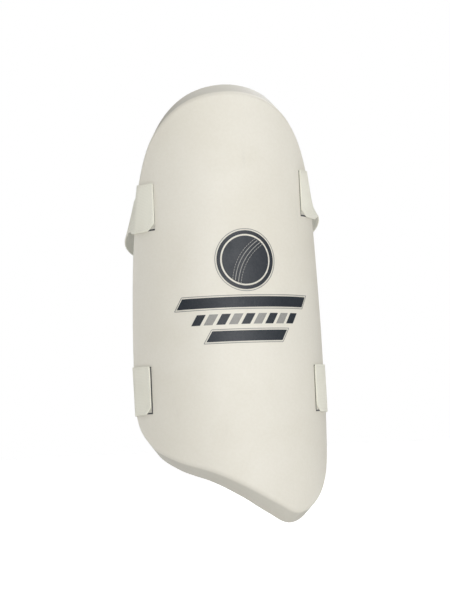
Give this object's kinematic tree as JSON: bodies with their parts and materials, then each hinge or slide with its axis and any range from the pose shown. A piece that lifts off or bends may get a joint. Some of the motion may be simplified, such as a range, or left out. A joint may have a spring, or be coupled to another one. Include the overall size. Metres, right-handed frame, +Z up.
{
  "type": "cricket thigh guard",
  "caption": "Moulded off-white thigh guard with an asymmetric lower edge, a padded dark back and elastic leg straps closed by hook-and-loop tabs.",
  "frame": {"origin": "on the axis of the thigh, at the middle of the guard's height", "axes": "+Z up the thigh, -Y out of the guard's face, +X to the right of someone who looks at the face"},
  "size_m": [0.2006, 0.2034, 0.423],
  "materials": {
    "cover_skin": "matt off-white moulded polyurethane skin with a fine grain",
    "plate": "grey moulded impact plate",
    "core_foam": "closed-cell EVA foam",
    "comfort_foam": "soft open foam",
    "lining": "dark quilted mesh fabric",
    "binding": "dark woven binding tape",
    "print": "dark heat-transfer film",
    "loop_tape": "brushed loop tape",
    "hook_tape": "off-white hook tape",
    "webbing": "off-white ribbed elastic webbing"
  },
  "bodies": {
    "pad": {"front_cover": "cover_skin", "impact_plate": "plate", "foam_core": "core_foam", "comfort_foam": "comfort_foam", "back_lining": "lining", "edge_binding": "binding", "print_roundel": "print", "print_stripe_1": "print", "print_stripe_2": "print", "print_stripe_3": "print", "upper_left_loop_patch": "loop_tape", "upper_left_fold": "webbing", "upper_right_loop_patch": "loop_tape", "upper_right_fold": "webbing", "lower_left_loop_patch": "loop_tape", "lower_left_fold": "webbing", "lower_right_loop_patch": "loop_tape", "lower_right_fold": "webbing"},
    "upper_strap": {"upper_band": "webbing"},
    "lower_strap": {"lower_band": "webbing"},
    "upper_left_strap_end": {"upper_left_tab": "webbing", "upper_left_hook_tape": "hook_tape"},
    "upper_right_strap_end": {"upper_right_tab": "webbing", "upper_right_hook_tape": "hook_tape"},
    "lower_left_strap_end": {"lower_left_tab": "webbing", "lower_left_hook_tape": "hook_tape"},
    "lower_right_strap_end": {"lower_right_tab": "webbing", "lower_right_hook_tape": "hook_tape"}
  },
  "joints": [
    {"name": "upper_strap_swing", "type": "hinge", "parent": "pad", "child": "upper_strap", "pos_m": [0, -0.03451, 0.099], "axis": [0.9986, 0, 0.0533], "range_deg": [-20, 30], "deforming": ["upper_left_fold", "upper_right_fold"]},
    {"name": "lower_strap_swing", "type": "hinge", "parent": "pad", "child": "lower_strap", "pos_m": [0, -0.01757, -0.084], "axis": [0.9998, 0, -0.0194], "range_deg": [-25, 25], "deforming": ["lower_left_fold", "lower_right_fold"]},
    {"name": "upper_left_tab_peel", "type": "hinge", "parent": "pad", "child": "upper_left_strap_end", "pos_m": [-0.08446, -0.06401, 0.0935], "axis": [-0.1297, 0.1712, -0.9767], "range_deg": [0, 100]},
    {"name": "upper_right_tab_peel", "type": "hinge", "parent": "pad", "child": "upper_right_strap_end", "pos_m": [0.08736, -0.05993, 0.1045], "axis": [-0.1381, -0.2013, 0.9697], "range_deg": [0, 100]},
    {"name": "lower_left_tab_peel", "type": "hinge", "parent": "pad", "child": "lower_left_strap_end", "pos_m": [-0.09254, -0.0519, -0.082], "axis": [0.0215, -0.0384, -0.999], "range_deg": [0, 100]},
    {"name": "lower_right_tab_peel", "type": "hinge", "parent": "pad", "child": "lower_right_strap_end", "pos_m": [0.09828, -0.03995, -0.086], "axis": [-0.0166, -0.0409, 0.999], "range_deg": [0, 100]}
  ]
}
